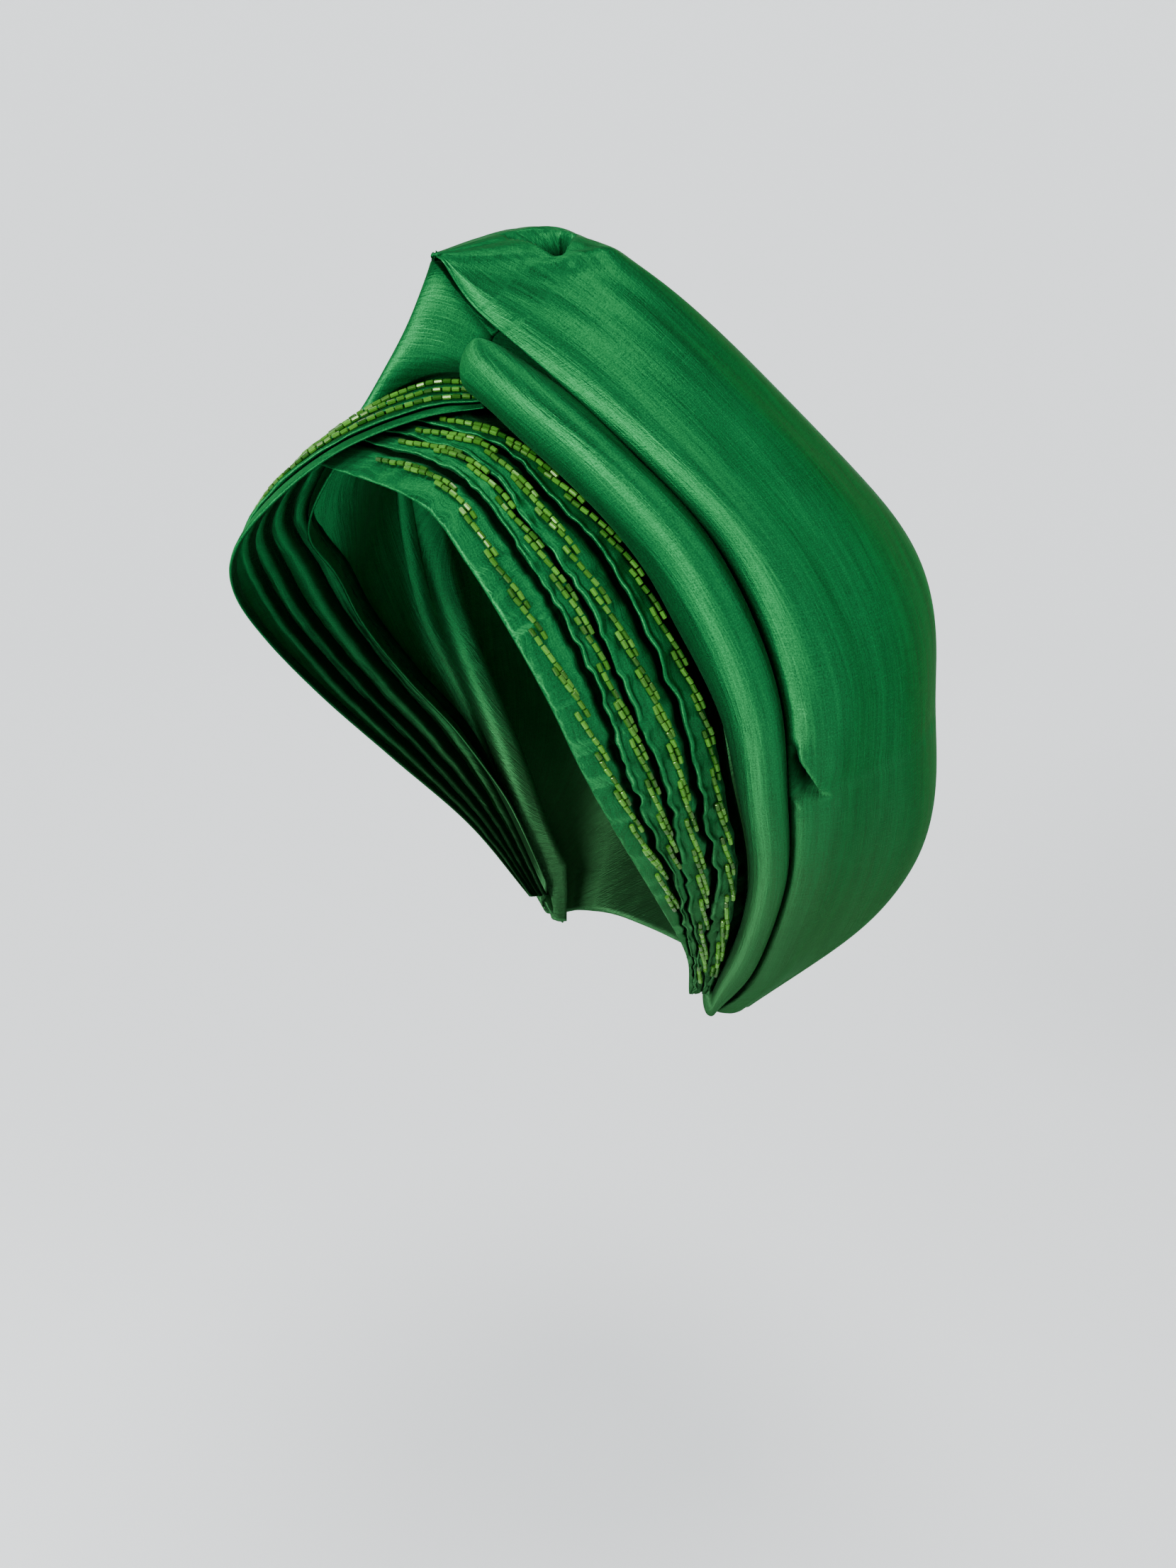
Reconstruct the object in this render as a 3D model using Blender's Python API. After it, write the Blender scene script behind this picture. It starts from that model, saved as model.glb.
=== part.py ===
# Beaded turban: a pleated and beaded band round the face, a rolled fold beside it and a
# full crown of cloth that hangs back over the head. All of it is thin cloth, modelled as
# closed walls, with each row of beads as one string.
#
# Frame: the origin is midway between the wearer's ears, +Z is up, the wearer faces -Y and
# the wearer's left is +X. Sizes below are in millimetres, and MM turns them into metres.

from collections import namedtuple

import bmesh
import bpy
import numpy as np

for old in list(bpy.data.objects):
    bpy.data.objects.remove(old)

MM = 0.001

# Driving dimensions
WALL = 2.0             # thickness of the doubled cloth of the crown and the roll
THIN_WALL = 0.25       # share of that thickness left at a closed front end
BAND_WALL = 1.4        # thickness of the band below its pleats
PANEL_WALL = 1.6       # thickness of the front panel
GAP = 0.4              # clearance between two pieces that touch
PLEAT = 2.0            # height of a pleat's folded edge above the cloth before it
HEAD_RADIUS = 85.0     # radius that a band arches over between its two edges
BEAD_RADIUS = 1.1      # string of bugle beads
ROLL_RISE = 0.84       # height of the side roll over half its width
ROLL_TURN = 30         # degrees that the roll's cloth turns under at each edge
LIP_FULL_REACH = 60.0  # reach of the crown from which its folded edge has its full size
LEAST_FOLD = 0.05      # share of that size left where the crown runs out to its tip
FOLD_NOSE = 1.4        # width over which a pleat's folded edge rises
RIM_LIFT = 0.3         # lift of a band's two edges, as a share of a pleat's height
BAND_TUCK = 1.0        # how deep the right band's back edge runs under the panel
LEAST_FOLD_SHARE = 0.015   # least share of the band's width between two bends
VALLEY_INSET = 2.4     # how far the roll stays back from the crown's edge
PANEL_INSET = 2.1      # how far the panel stays back from its two edges
LIP_INSET = 0.7        # how far the crown's edge stays back from its line
LEAST_REACH = 2.0      # least length of the crown's section on one side
ROLL_FRONT = 0.05      # share of the roll's length that its rounded front end takes
ROLL_TAIL = 0.05       # the same at its lower end
LEAST_FRONT = 0.03     # square of the roll's least size at its front end
LEAST_TAIL = 0.10      # the same at its lower end
CROWN_TIP = 0.12       # share of the crown's length over which its wall thins to the tip
STEP = 2e-3            # small step on a surface, for its directions
SHARP = np.radians(50) # edges bent more than this are shaded sharp
CLOTH_ROUGHNESS = 0.45
BEAD_ROUGHNESS = 0.12

# How finely each wall is divided
BAND_ALONG = 30
ROLL_ALONG = 30
ROLL_ACROSS = 9
PANEL_ALONG = 26
PANEL_ACROSS = 6
CROWN_ALONG = 36
CROWN_ACROSS = 28

# The left side, a row for each station from the front knot round the ear to the nape.
# edge: lower edge of the band; seam: band to roll; valley: roll to crown; tuck: how deep
# the band's back edge runs under the roll; pleat: share of the full pleat height.
Left = namedtuple("Left", "edge seam valley tuck pleat")
LEFT = [
    Left((-12, -51, 121), (10, -17, 147), (22, -12, 162), 12.0, 0.4),
    Left((37, -46, 115), (33, -11, 134), (58, -8, 146), 4.5, 1.0),
    Left((55, -41, 100), (58, -5, 118), (80, 1, 129), 2.0, 1.0),
    Left((68, -35, 81), (71, 5, 101), (93, 15, 110), 1.0, 1.0),
    Left((76, -28, 62), (80, 15, 78), (100, 28, 86), 1.0, 1.0),
    Left((79, -20, 43), (84, 28, 52), (102, 38, 58), 1.0, 1.0),
    Left((79, -8, 22), (84, 36, 27), (99, 44, 27), 1.0, 1.0),
    Left((70, 16, -10), (79, 47, -4), (90, 53, -8), 1.0, 0.9),
    Left((58, 39, -40), (69, 52, -33), (72, 57, -45), 1.0, 0.6),
    Left((52, 50, -59), (53, 56, -62), (50, 58, -71), 0.5, 0.3),
]

# The right side, a row for each station from under the front knot round the right ear.
# edge: lower edge of the band; seam: band to panel; top: panel to crown; arch: how far
# the panel stands out between its edges.
Right = namedtuple("Right", "edge seam top arch pleat")
RIGHT = [
    Right((22, -13, 138), (10, -8, 146), (24, -11, 159), 1, 0.4),
    Right((12, -29, 135), (-8, -16, 144), (9, -14, 170), 1, 0.5),
    Right((2, -51, 126), (-22, -31, 133), (-3, -14, 178), -2, 0.6),
    Right((-12, -66, 111), (-40, -36, 118), (-14, -10, 172), -10, 0.9),
    Right((-30, -72, 94), (-61, -34, 97), (-36, -3, 156), -10, 1.0),
    Right((-52, -64, 76), (-78, -16, 77), (-64, 7, 132), -3, 1.0),
    Right((-68, -47, 55), (-87, -2, 55), (-88, 18, 98), 3, 1.0),
    Right((-78, -22, 28), (-90, 18, 28), (-98, 31, 52), 4, 1.0),
    Right((-77, 5, 0), (-87, 38, 2), (-95, 46, 14), 3, 0.9),
    Right((-66, 32, -30), (-75, 50, -27), (-80, 55, -30), 2, 0.6),
    Right((-52, 50, -60), (-53, 56, -62), (-50, 58, -71), 1, 0.3),
]

# The crown, a row for each section from the front tip over the back to the nape.
# left and right: its folded edges; ridge: the middle of its back; width: half its
# greatest width; lip: how far the folded left edge stands out; groove: the hollow beside it.
Crown = namedtuple("Crown", "left ridge right width lip groove")
CROWN = [
    Crown((2, -16, 182), (0, -17, 183), (-1, -16, 181), 2, 0.5, 0),
    Crown((12, -14, 169), (2, -7, 183), (-10, -11, 174), 14, 3, 0),
    Crown((26, -11, 161), (4, 25, 189), (-24, -6, 165), 33, 6, 1),
    Crown((58, -8, 146), (4, 42, 181), (-46, 2, 149), 62, 9, 2),
    Crown((80, 1, 129), (2, 71, 149), (-70, 10, 127), 86, 9, 3),
    Crown((93, 15, 110), (0, 98, 122), (-88, 18, 104), 99, 9, 3),
    Crown((100, 28, 86), (0, 124, 98), (-96, 26, 80), 104, 9, 3),
    Crown((102, 38, 58), (0, 135, 76), (-99, 34, 54), 106, 9, 3),
    Crown((99, 44, 27), (0, 139, 44), (-98, 43, 27), 105, 7, 1),
    Crown((90, 53, -8), (0, 149, 2), (-89, 53, -8), 99, 6, 0),
    Crown((73, 58, -45), (0, 146, -24), (-73, 58, -45), 84, 5, 0),
    Crown((62, 60, -60), (0, 118, -48), (-62, 60, -60), 68, 4, 0),
    Crown((50, 58, -71), (0, 90, -74), (-50, 58, -71), 52, 3, 0),
]

# Folds of the left band, a row for each: its share of the band's width at the ten
# stations. A bead row lies behind each folded edge, and the first behind the lower edge.
LEFT_FOLDS = {
    "fold_2": (0.28, 0.36, 0.36, 0.35, 0.32, 0.29, 0.27, 0.26, 0.10, 0.10),
    "fold_3": (0.43, 0.56, 0.53, 0.52, 0.50, 0.50, 0.48, 0.36, 0.20, 0.20),
    "fold_4": (0.60, 0.80, 0.81, 0.82, 0.80, 0.78, 0.73, 0.65, 0.50, 0.50),
}
RIGHT_FOLDS = {
    "fold_2": (0.16, 0.17, 0.18, 0.22, 0.27, 0.30, 0.30, 0.28, 0.25, 0.20, 0.15),
    "fold_3": (0.36, 0.38, 0.40, 0.45, 0.50, 0.52, 0.52, 0.50, 0.46, 0.42, 0.36),
    "fold_4": (0.58, 0.60, 0.62, 0.68, 0.75, 0.78, 0.78, 0.75, 0.70, 0.66, 0.60),
}

# Bead rows: share of the band's width at each station, and where the row starts and
# ends as a share of the band's length.
BeadRow = namedtuple("BeadRow", "share start end")
LEFT_BEADS = [
    BeadRow((0.18, 0.22, 0.17, 0.14, 0.14, 0.15, 0.16, 0.16, 0.05, 0.05), 0.06, 0.79),
    BeadRow((0.36, 0.50, 0.47, 0.44, 0.42, 0.41, 0.39, 0.31, 0.15, 0.15), 0.06, 0.72),
    BeadRow((0.50, 0.70, 0.66, 0.63, 0.64, 0.65, 0.60, 0.51, 0.34, 0.34), 0.06, 0.96),
    BeadRow((0.70, 0.83, 0.86, 0.88, 0.88, 0.87, 0.83, 0.80, 0.70, 0.70), 0.06, 0.95),
]
RIGHT_BEADS = [
    BeadRow((0.26, 0.28, 0.30, 0.33, 0.37, 0.40, 0.40, 0.38, 0.34, 0.30, 0.26), 0.02, 0.88),
    BeadRow((0.46, 0.49, 0.52, 0.56, 0.60, 0.62, 0.62, 0.60, 0.56, 0.52, 0.46), 0.02, 0.92),
    BeadRow((0.68, 0.71, 0.74, 0.80, 0.86, 0.88, 0.88, 0.86, 0.82, 0.78, 0.70), 0.02, 0.95),
]

# The crown's folded edge: reach towards the ridge, how far it stands out, and that as a
# share of the lip
LipPoint = namedtuple("LipPoint", "name reach out lip_share")
LIP = [
    LipPoint("turned_under", 8.0, -9.0, 0.0),
    LipPoint("inner_bend", 1.5, -5.0, 0.0),
    LipPoint("edge", 0.0, 0.0, 0.0),
    LipPoint("outer_bend", 3.0, 0.0, 0.66),
    LipPoint("crest", 10.0, 0.0, 1.0),
]
GROOVE_REACH = 24.0    # reach of the hollow behind the folded edge

# The rest of the crown's section, in shares of the way to the ridge and of the half width
BackPoint = namedtuple("BackPoint", "name reach_share width_share")
BACK = [
    BackPoint("side", 0.50, 1.00),
    BackPoint("shoulder", 0.80, 0.84),
    BackPoint("top", 0.95, 0.50),
]

# Dents pressed into the crown, each along a short line: start, end, depth, radius
Dent = namedtuple("Dent", "start end depth radius")
DENTS = [
    Dent((12, -1, 184), (18, 16, 183), 6.0, 7.0),
    Dent((100, 50, 27), (106, 60, 27), 2.5, 5.0),
]

GREEN = (0.010, 0.185, 0.062)
BEAD_GREEN = (0.16, 0.33, 0.05)


def spline(rows, at):
    # Catmull-Rom curve through one row for each station, read at shares 0 to 1
    rows = np.asarray(rows, float)
    if rows.ndim == 1:
        rows = rows[:, None]
    last = len(rows) - 1
    place = np.clip(np.asarray(at, float) * last, 0, last - 1e-9)
    first = np.floor(place).astype(int)
    part = (place - first)[..., None]
    ends = np.concatenate([[2 * rows[0] - rows[1]], rows, [2 * rows[-1] - rows[-2]]])
    a, b, c, d = (ends[first + k] for k in range(4))
    bend = 2 * a - 5 * b + 4 * c - d
    turn = 3 * b - a - 3 * c + d
    return 0.5 * (2 * b + (c - a) * part + bend * part ** 2 + turn * part ** 3)


def column(table, name):
    return [getattr(row, name) for row in table]


def unit(vectors):
    return vectors / np.maximum(np.linalg.norm(vectors, axis=-1, keepdims=True), 1e-9)


def strip_frame(table, low, high, t):
    # The two edges of a strip at t, the way across it and the way out of it
    side = 1 if table is LEFT else -1

    def middle(at):
        return (spline(column(table, low), at) + spline(column(table, high), at)) / 2

    first = spline(column(table, low), t)
    second = spline(column(table, high), t)
    run = unit(middle(np.clip(t + STEP, 0, 1)) - middle(np.clip(t - STEP, 0, 1)))
    across = unit(second - first)
    return first, second, across, side * unit(np.cross(run, across))


def surface_normal(surface, t, v):
    # The way out of a surface whose v runs from the wearer's left, by small steps on it
    along = surface(np.clip(t + STEP, 0, 1), v) - surface(np.clip(t - STEP, 0, 1), v)
    across = surface(t, np.clip(v + STEP, 0, 1)) - surface(t, np.clip(v - STEP, 0, 1))
    return unit(np.cross(along, across))


# Bands

def fold_knots(folds, width, t):
    # Shares of the band's width where its pleated section bends, and the lift of each
    nose = FOLD_NOSE / 2 / width
    knots = [np.zeros_like(t)]
    lifts = [RIM_LIFT]
    for shares in folds.values():
        fold = spline(shares, t)[..., 0]
        knots += [fold - nose, fold + nose]
        lifts += [0.0, 1.0]
    knots.append(np.ones_like(t))
    lifts.append(RIM_LIFT)
    knots = np.stack(knots, -1)
    least = np.arange(knots.shape[-1]) * LEAST_FOLD_SHARE
    return np.maximum(knots, least), np.array(lifts)


def band_point(table, folds, t, knot_place, lifted):
    # A point of a band; knot_place counts its section's bends from the lower edge
    edge, seam, across, out = strip_frame(table, "edge", "seam", t)
    tuck = spline(column(table, "tuck"), t) if hasattr(table[0], "tuck") else BAND_TUCK
    back = seam - out * tuck - across * GAP
    width = np.linalg.norm(back - edge, axis=-1)
    knots, lifts = fold_knots(folds, width, t)
    last = knots.shape[-1] - 1
    place = np.clip(knot_place, 0, last - 1e-9)
    first = np.floor(place).astype(int)
    part = place - first
    index = np.arange(len(t))
    share = (knots[index, first] * (1 - part) + knots[index, first + 1] * part)[:, None]
    lift = (lifts[first] * (1 - part) + lifts[first + 1] * part)[:, None]
    height = (width ** 2)[:, None] / HEAD_RADIUS / 2 * share * (1 - share)
    if lifted:
        height = height + lift * PLEAT * spline(column(table, "pleat"), t)
    return edge + (back - edge) * share + out * height, out


def band(name, table, folds):
    knots = 2 * len(folds) + 2

    def outer(t, v):
        return band_point(table, folds, t, v * (knots - 1), True)[0]

    def inner(t, v):
        point, out = band_point(table, folds, t, v * (knots - 1), False)
        return point - out * BAND_WALL

    return wall(name, outer, inner, BAND_ALONG, knots - 1, GREEN)


def bead_string(name, table, folds, row):
    # A string of beads on the band, with a point at each station of the band's mesh
    stations = np.linspace(0, 1, BAND_ALONG + 1)
    t = stations[(stations > row.start) & (stations < row.end)]
    edge, seam, across, out = strip_frame(table, "edge", "seam", t)
    width = np.linalg.norm(seam - edge, axis=-1)
    knots, lifts = fold_knots(folds, width, t)
    shares = spline(row.share, t)[:, 0]
    places = np.arange(knots.shape[-1])
    place = np.array([np.interp(share, bends, places) for share, bends in zip(shares, knots)])
    point, out = band_point(table, folds, t, place, True)
    return string(name, point + out * (BEAD_RADIUS + GAP), BEAD_RADIUS)


# Side roll and front panel

def roll_point(t, v):
    # A roll of cloth, open on its inner side, between the seam and the valley
    seam, valley, across, out = strip_frame(LEFT, "seam", "valley", t)
    valley = valley - across * VALLEY_INSET
    half = np.linalg.norm(valley - seam, axis=-1, keepdims=True) / 2
    front = np.clip(t / ROLL_FRONT, 0, 1)
    tail = np.clip((1 - t) / ROLL_TAIL, 0, 1)
    size = np.sqrt(np.clip(1 - (1 - front) ** 2, LEAST_FRONT, 1))
    size *= np.sqrt(np.clip(1 - (1 - tail) ** 2, LEAST_TAIL, 1))
    angle = np.radians(180 + ROLL_TURN - v * (180 + 2 * ROLL_TURN))
    reach = half * (size * np.cos(angle))[:, None]
    rise = half * (size * ROLL_RISE * np.sin(angle))[:, None]
    return (seam + valley) / 2 + across * reach + out * rise


def side_roll():
    def inner(t, v):
        return roll_point(t, v) - surface_normal(roll_point, t, v) * wall_near(t, ROLL_FRONT)

    return wall("side_roll", roll_point, inner, ROLL_ALONG, ROLL_ACROSS, GREEN)


def wall_near(t, reach):
    # The wall thins out towards a closed front end
    share = np.clip(THIN_WALL + (1 - THIN_WALL) * t / reach, 0, 1)
    return (WALL * share)[:, None]


def panel_point(t, v):
    seam, top, across, out = strip_frame(RIGHT, "seam", "top", t)
    low = seam + across * PANEL_INSET
    high = top - across * PANEL_INSET
    share = v[:, None]
    arch = spline(column(RIGHT, "arch"), t)
    return low + (high - low) * share + out * arch * 4 * share * (1 - share)


def front_panel():
    def inner(t, v):
        return panel_point(t, v) + surface_normal(panel_point, t, v) * PANEL_WALL

    return wall("front_panel", panel_point, inner, PANEL_ALONG, PANEL_ACROSS, GREEN)


# Crown

def crown_side(edge, ridge, width, lip, groove, side):
    # Points of the section from one folded edge up to the ridge, in order
    reach = ridge - edge
    reach[:, 0] = 0
    length = np.linalg.norm(reach, axis=-1)
    size = np.clip(length / LIP_FULL_REACH, LEAST_FOLD, 1)
    length = np.maximum(length, LEAST_REACH)
    section = []
    for part in LIP:
        share = (part.reach * size + LIP_INSET) / length
        section.append((share, part.out * size + lip * part.lip_share))
    section.append((GROOVE_REACH * size / length, lip - groove))
    points = []
    for share, out in section:
        point = edge + reach * share[:, None]
        point[:, 0] = edge[:, 0] + side * out
        points.append(point)
    for part in BACK:
        point = edge + reach * part.reach_share
        point[:, 0] = side * width * part.width_share
        points.append(point)
    return points


def crown_base(t, v):
    left, ridge, right, width, lip, groove = (
        spline(column(CROWN, name), t) for name in Crown._fields
    )
    width, lip, groove = width[:, 0], lip[:, 0], groove[:, 0]
    one_side = crown_side(left, ridge, width, lip, groove, 1)
    other_side = crown_side(right, ridge, width, lip, groove, -1)
    section = np.stack(one_side + [ridge] + other_side[::-1])
    last = len(section) - 1
    place = np.clip(v * last, 0, last - 1e-9)
    first = np.floor(place).astype(int)
    part = (place - first)[:, None]
    ends = np.concatenate([
        [2 * section[0] - section[1]], section, [2 * section[-1] - section[-2]]
    ])
    index = np.arange(len(t))
    a, b, c, d = (ends[first + k, index] for k in range(4))
    bend = 2 * a - 5 * b + 4 * c - d
    turn = 3 * b - a - 3 * c + d
    return 0.5 * (2 * b + (c - a) * part + bend * part ** 2 + turn * part ** 3)


def dent_depth(points):
    depth = np.zeros((len(points), 1))
    for dent in DENTS:
        start, end = np.array(dent.start, float), np.array(dent.end, float)
        line = end - start
        share = np.clip((points - start) @ line / (line @ line), 0, 1)[:, None]
        distance = np.linalg.norm(points - start - line * share, axis=-1, keepdims=True)
        depth += dent.depth * np.exp(-(distance / dent.radius) ** 2)
    return depth


def crown():
    def outer(t, v):
        base = crown_base(t, v)
        return base - surface_normal(crown_base, t, v) * dent_depth(base)

    def inner(t, v):
        return outer(t, v) - surface_normal(crown_base, t, v) * wall_near(t, CROWN_TIP)

    return wall("crown", outer, inner, CROWN_ALONG, CROWN_ACROSS, GREEN)


# Making the objects

def material(name, colour, roughness):
    made = bpy.data.materials.new(name)
    made.use_nodes = True
    shader = made.node_tree.nodes["Principled BSDF"]
    shader.inputs["Base Color"].default_value = (*colour, 1)
    shader.inputs["Roughness"].default_value = roughness
    shader.inputs["Metallic"].default_value = 0.0
    return made


def add_object(name, data, colour, roughness):
    made = bpy.data.objects.new(name, data)
    bpy.context.collection.objects.link(made)
    data.materials.append(material(name, colour, roughness))
    return made


def wall(name, outer, inner, along, across, colour):
    # A closed wall between two surfaces, each a grid moved to its place and joined at
    # the border
    bm = bmesh.new()
    for surface, inward in ((outer, False), (inner, True)):
        verts = bmesh.ops.create_grid(bm, x_segments=along, y_segments=across, size=0.5)["verts"]
        places = np.array([vert.co for vert in verts]) + 0.5
        for vert, point in zip(verts, surface(places[:, 0], places[:, 1]) * MM):
            vert.co = point
        if inward:
            faces = list({face for vert in verts for face in vert.link_faces})
            bmesh.ops.reverse_faces(bm, faces=faces)
    border = [edge for edge in bm.edges if edge.is_boundary]
    bmesh.ops.bridge_loops(bm, edges=border)
    bmesh.ops.recalc_face_normals(bm, faces=bm.faces)
    mesh = bpy.data.meshes.new(name)
    bm.to_mesh(mesh)
    bm.free()
    mesh.shade_smooth()
    mesh.set_sharp_from_angle(angle=SHARP)
    return add_object(name, mesh, colour, CLOTH_ROUGHNESS)


def string(name, points, radius):
    curve = bpy.data.curves.new(name, "CURVE")
    curve.dimensions = "3D"
    curve.bevel_depth = radius * MM
    curve.bevel_resolution = 2
    curve.use_fill_caps = True
    spline_points = curve.splines.new("POLY").points
    spline_points.add(len(points) - 1)
    for place, point in zip(spline_points, points * MM):
        place.co = (*point, 1)
    return add_object(name, curve, BEAD_GREEN, BEAD_ROUGHNESS)


crown()
side_roll()
front_panel()
band("left_band", LEFT, LEFT_FOLDS)
band("right_band", RIGHT, RIGHT_FOLDS)
for number, row in enumerate(LEFT_BEADS, 1):
    bead_string(f"left_bead_row_{number}", LEFT, LEFT_FOLDS, row)
for number, row in enumerate(RIGHT_BEADS, 1):
    bead_string(f"right_bead_row_{number}", RIGHT, RIGHT_FOLDS, row)
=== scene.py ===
import math

import bmesh
import bpy
import numpy as np
from mathutils import Matrix, Vector


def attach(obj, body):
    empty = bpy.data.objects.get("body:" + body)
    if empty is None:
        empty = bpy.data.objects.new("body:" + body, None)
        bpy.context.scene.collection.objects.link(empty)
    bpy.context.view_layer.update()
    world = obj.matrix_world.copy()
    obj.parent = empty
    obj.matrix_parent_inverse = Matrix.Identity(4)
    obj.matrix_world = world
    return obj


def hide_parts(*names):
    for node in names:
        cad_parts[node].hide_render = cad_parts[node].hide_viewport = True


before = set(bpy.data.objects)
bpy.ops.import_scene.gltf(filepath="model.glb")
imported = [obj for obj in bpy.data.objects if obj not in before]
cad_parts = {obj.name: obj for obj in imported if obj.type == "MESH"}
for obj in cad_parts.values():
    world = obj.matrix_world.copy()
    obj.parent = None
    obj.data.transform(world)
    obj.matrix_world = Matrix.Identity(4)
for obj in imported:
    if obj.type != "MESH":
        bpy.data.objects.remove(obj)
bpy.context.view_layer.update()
mm = 0.001
print("frame loaded")


# curves and surfaces

def throughKnots(a, b, c, d, part):
    # part of the way from b to c, on the smooth curve through four knots
    return 0.5 * (2 * b + (c - a) * part + (2 * a - 5 * b + 4 * c - d) * part ** 2
                  + (3 * b - a - 3 * c + d) * part ** 3)


def spline(rows, at):
    # smooth curve through one row for each station, read at shares 0 to 1
    rows = np.asarray(rows, float)
    if rows.ndim == 1:
        rows = rows[:, None]
    last = len(rows) - 1
    place = np.clip(np.asarray(at, float) * last, 0, last - 1e-9)
    first = np.floor(place).astype(int)
    part = (place - first)[..., None]
    ends = np.concatenate([[2 * rows[0] - rows[1]], rows, [2 * rows[-1] - rows[-2]]])
    return throughKnots(*(ends[first + k] for k in range(4)), part)


def splineAcross(knots, steps):
    # rounds a section off: steps points for each stretch between two of its knots
    ends = np.concatenate([2 * knots[:, :1] - knots[:, 1:2], knots,
                           2 * knots[:, -1:] - knots[:, -2:-1]], axis=1)
    columns = []
    for first in range(knots.shape[1] - 1):
        four = [ends[:, first + k] for k in range(4)]
        columns += [throughKnots(*four, step / steps) for step in range(steps)]
    columns.append(knots[:, -1])
    return np.stack(columns, 1)


def unit(vectors):
    return vectors / np.maximum(np.linalg.norm(vectors, axis=-1, keepdims=True), 1e-9)


def smooth(x):
    x = np.clip(x, 0, 1)
    return x * x * (3 - 2 * x)


rippleGrid = (61, 53)  # random values each way, before the ripples repeat


def ripple(u, v, seed):
    # soft random ripples about one unit long, from -1 to 1
    rows, columns = rippleGrid
    grid = np.random.default_rng(seed).uniform(-1, 1, rippleGrid)
    u, v = np.broadcast_arrays(np.asarray(u, float), np.asarray(v, float))
    i, j = np.floor(u).astype(int), np.floor(v).astype(int)
    a, b = smooth(u - i), smooth(v - j)
    i, j, k, l = i % rows, j % columns, (i + 1) % rows, (j + 1) % columns
    return ((grid[i, j] * (1 - a) + grid[k, j] * a) * (1 - b)
            + (grid[i, l] * (1 - a) + grid[k, l] * a) * b)


def arcs(points):
    # distance run along the first axis
    steps = np.linalg.norm(np.diff(points, axis=0), axis=-1)
    return np.concatenate([np.zeros_like(steps[:1]), np.cumsum(steps, 0)])


def outward(points, hand=1):
    # normals of a grid of points, rows along the cloth and columns across it
    return hand * unit(np.cross(np.gradient(points, axis=0), np.gradient(points, axis=1)))


def stripFrame(side, low, high, t):
    # the two edges of a strip at t, the way across it and the way out of it; before its
    # first station the strip runs straight on and bends in, past its last it turns away
    def middle(at):
        return (spline(side[low], at) + spline(side[high], at)) / 2

    inside, before = np.clip(t, 0, 1), np.clip(-t, 0, None)[:, None]
    first, second = spline(side[low], inside), spline(side[high], inside)
    near = 2e-3  # a small step either way, for the direction of the run
    run = unit(middle(np.clip(inside + near, 0, 1)) - middle(np.clip(inside - near, 0, 1)))
    across = unit(second - first)
    out = side["hand"] * unit(np.cross(run, across))
    after = side["endRun"] * np.clip(t - 1, 0, None)[:, None]
    more = run * after + (np.array(side["endWay"]) - run) * after ** 2 / side["endTurn"] \
        - run * before * side["tailRun"] - out * before ** 2 * side["tailBend"]
    return first + more, second + more, across, out


def linePlace(points, start, end):
    # share of the way along a line and distance from it, for every point
    start, end = np.array(start, float), np.array(end, float)
    line = end - start
    share = np.clip((points - start) @ line / (line @ line), 0, 1)
    return share, np.linalg.norm(points - start - line * share[..., None], axis=-1)


# materials

def addNode(tree, kind, settings=None, **inputs):
    made = tree.nodes.new(kind)
    for name, value in (settings or {}).items():
        setattr(made, name, value)
    for name, value in inputs.items():
        socket = made.inputs[int(name[2:])] if name.startswith("in") else made.inputs[name]
        if isinstance(value, bpy.types.NodeSocket):
            tree.links.new(value, socket)
        else:
            socket.default_value = value
    return made


def fade(tree, value, start, end, least, most):
    # runs smoothly from least at start to most at end
    made = addNode(tree, "ShaderNodeMapRange", {"interpolation_type": "SMOOTHSTEP"}, Value=value)
    for name, setting in (("From Min", start), ("From Max", end), ("To Min", least), ("To Max", most)):
        made.inputs[name].default_value = setting
    return made.outputs["Result"]


def newMaterial(name):
    made = bpy.data.materials.new(name)
    made.use_nodes = True
    return made, made.node_tree, made.node_tree.nodes["Principled BSDF"]


satin = {
    "dark": (0.0050, 0.052, 0.015, 1), "light": (0.0165, 0.215, 0.060, 1),
    # painted shade: the colour is multiplied by this deep in the folds
    "foldShadeTint": (0.10, 0.14, 0.12, 1),
    # painted shade: the colour turns darker towards the lower rim, where less light falls, between two
    # heights in metres
    "lowShade": 0.75, "lowShadeTint": (0.027, 0.070, 0.028, 1), "lowShadeFrom": 0.09, "lowShadeTo": -0.06,
    "roughness": 0.54, "roughnessChange": 0.25, "metallic": 0.80, "anisotropic": 0.82,
    "specular": 0.08, "edgeTint": (0.05, 0.34, 0.14, 1),
    "sheen": 0.04, "sheenRoughness": 0.35, "sheenTint": (0.20, 0.90, 0.35, 1),
    # how many to a metre, along the cloth and across it
    "slubLength": 30.0, "slubWidth": 1000.0, "streakLength": 14.0, "streakWidth": 230.0,
    "threadLength": 180.0, "thread": 1500.0, "grain": 2200.0,
    # how much each adds to the tone between dark and light, from a level below dark
    "slubTone": 0.8, "streakTone": 0.5, "threadTone": 0.3, "grainTone": 0.7, "toneLevel": -0.65,
    "weaveDepth": 0.00010, "slubDepth": 0.00010,  # in metres
}


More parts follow.
